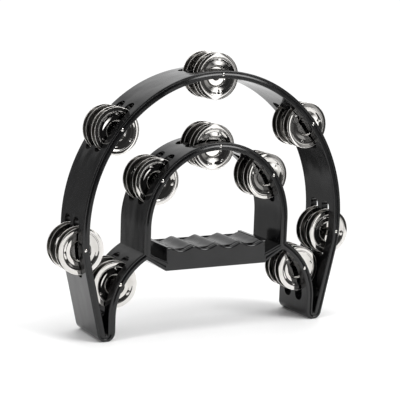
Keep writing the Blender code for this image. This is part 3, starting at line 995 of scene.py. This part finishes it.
def make_floor():
    """A round pale floor under the feet."""
    work = bmesh.new()
    bmesh.ops.create_circle(work, cap_ends=True, segments=FLOOR_SIDES, radius=FLOOR_RADIUS)
    mesh = bpy.data.meshes.new("floor")
    work.to_mesh(mesh)
    work.free()
    mesh.materials.append(floor_material())
    floor = link("floor", mesh)
    floor.location = FLOOR_CENTRE


def ramp(tree, value, stops):
    """A colour ramp of grey levels above a list of (position, level) stops."""
    node = tree.nodes.new("ShaderNodeValToRGB")
    elements = node.color_ramp.elements
    while len(elements) < len(stops):
        elements.new(1.0)
    for element, (position, level) in zip(elements, stops):
        element.position = position
        element.color = (level, level, level, 1.0)
    tree.links.new(value, node.inputs["Fac"])
    return node.outputs["Color"]


def heading(azimuth, elevation):
    """The unit vector at an azimuth from +Y towards +X and an elevation."""
    side, up = math.radians(azimuth), math.radians(elevation)
    return (math.sin(side) * math.cos(up), math.cos(side) * math.cos(up), math.sin(up))


def soft_box(tree, direction, azimuth, elevation, radius):
    """1 inside a round patch of the sky and 0 outside, with a soft border."""
    dot = tree.nodes.new("ShaderNodeVectorMath")
    dot.operation = "DOT_PRODUCT"
    dot.inputs[1].default_value = heading(azimuth, elevation)
    tree.links.new(direction, dot.inputs[0])
    outside = math.cos(math.radians(radius + SOFT_BORDER))
    inside = math.cos(math.radians(radius - SOFT_BORDER))
    return add_range(tree, dot.outputs["Value"], (outside, inside))


def room_colour(tree):
    """The room's brightness by direction, divided by ROOM_SCALE so that ramps can hold it."""
    where = tree.nodes.new("ShaderNodeTexCoord")
    split = tree.nodes.new("ShaderNodeSeparateXYZ")
    tree.links.new(where.outputs["Generated"], split.inputs["Vector"])
    x, y, z = (split.outputs[axis] for axis in "XYZ")
    around = maths(tree, "DIVIDE", maths(tree, "ARCTAN2", x, y), 2.0 * math.pi)
    around = maths(tree, "ADD", around, 0.5)
    stops = [((azimuth + 180.0) / 360.0, value / ROOM_SCALE) for azimuth, value in ROOM]
    mix = tree.nodes.new("ShaderNodeMix")
    mix.data_type = "RGBA"
    tree.links.new(add_range(tree, z, (OVERHEAD_FROM, OVERHEAD_TO)), mix.inputs["Factor"])
    tree.links.new(ramp(tree, around, stops), mix.inputs[MIX_FIRST])
    ceiling = OVERHEAD / ROOM_SCALE
    mix.inputs[MIX_SECOND].default_value = (ceiling, ceiling, ceiling, 1.0)
    total = mix.outputs[MIX_RESULT]
    for azimuth, elevation, radius, value in SOFT_BOXES:
        box = soft_box(tree, where.outputs["Generated"], azimuth, elevation, radius)
        add = tree.nodes.new("ShaderNodeVectorMath")
        add.operation = "ADD"
        tree.links.new(total, add.inputs[0])
        tree.links.new(maths(tree, "MULTIPLY", box, value / ROOM_SCALE), add.inputs[1])
        total = add.outputs["Vector"]
    return total


def make_world():
    """A studio seen from inside: bright behind, flagged dark in front, with soft boxes.

    The camera itself sees plain white behind the object.
    """
    world = bpy.data.worlds.new("studio")
    bpy.context.scene.world = world
    world.use_nodes = True
    tree = world.node_tree
    background = tree.nodes["Background"]
    background.inputs["Strength"].default_value = ROOM_SCALE
    tree.links.new(room_colour(tree), background.inputs["Color"])
    backdrop = tree.nodes.new("ShaderNodeBackground")
    backdrop.inputs["Color"].default_value = (1.0, 1.0, 1.0, 1.0)
    backdrop.inputs["Strength"].default_value = BACKDROP_LEVEL
    path = tree.nodes.new("ShaderNodeLightPath")
    choose = tree.nodes.new("ShaderNodeMixShader")
    tree.links.new(path.outputs["Is Camera Ray"], choose.inputs["Fac"])
    tree.links.new(background.outputs["Background"], choose.inputs[1])
    tree.links.new(backdrop.outputs["Background"], choose.inputs[2])
    tree.links.new(choose.outputs["Shader"], tree.nodes["World Output"].inputs["Surface"])


def make_card():
    """A dim soft light behind on the left, out of the camera's sight."""
    light = bpy.data.lights.new("card", "AREA")
    light.shape = "RECTANGLE"
    light.size = CARD_WIDTH
    light.size_y = CARD_HEIGHT
    light.energy = CARD_LEVEL * math.pi * CARD_WIDTH * CARD_HEIGHT
    card = bpy.data.objects.new("card", light)
    bpy.context.scene.collection.objects.link(card)
    card.location = CARD_PLACE
    card.rotation_mode = "QUATERNION"
    card.rotation_quaternion = Vector((0.0, -1.0, 0.0)).to_track_quat("-Z", "Z")
    card.visible_camera = False


def make_camera():
    """The camera at the photograph's angle."""
    forward = Vector(heading(CAMERA_AZIMUTH, -CAMERA_ELEVATION))
    camera = bpy.data.objects.new("camera", bpy.data.cameras.new("camera"))
    bpy.context.scene.collection.objects.link(camera)
    camera.data.lens = CAMERA_LENS
    camera.data.sensor_width = SENSOR_WIDTH
    camera.rotation_mode = "QUATERNION"
    roll = Matrix.Rotation(-math.radians(CAMERA_ROLL), 3, forward).to_quaternion()
    camera.rotation_quaternion = roll @ forward.to_track_quat("-Z", "Y")
    camera.location = Vector(CAMERA_TARGET) - forward * CAMERA_DISTANCE
    bpy.context.scene.camera = camera


black = plastic("black_plastic", MOULDING_COLOUR, MOULDING_ROUGHNESS, MOULDING_GRAIN)
grip_black = plastic("grip_plastic", GRIP_COLOUR, GRIP_ROUGHNESS, GRIP_GRAIN)
nickel = metal("jingle_nickel", NICKEL_COLOURS, NICKEL_ROUGHNESS, matt_edge_and_painted_highlight=True)
steel = metal("pin_steel", STEEL_COLOURS, STEEL_ROUGHNESS)
make_shell(black)
make_grip(grip_black)
make_pins(steel)
make_jingles(nickel)
make_floor()
make_world()
make_card()
make_camera()
bpy.context.scene.view_settings.view_transform = "Standard"
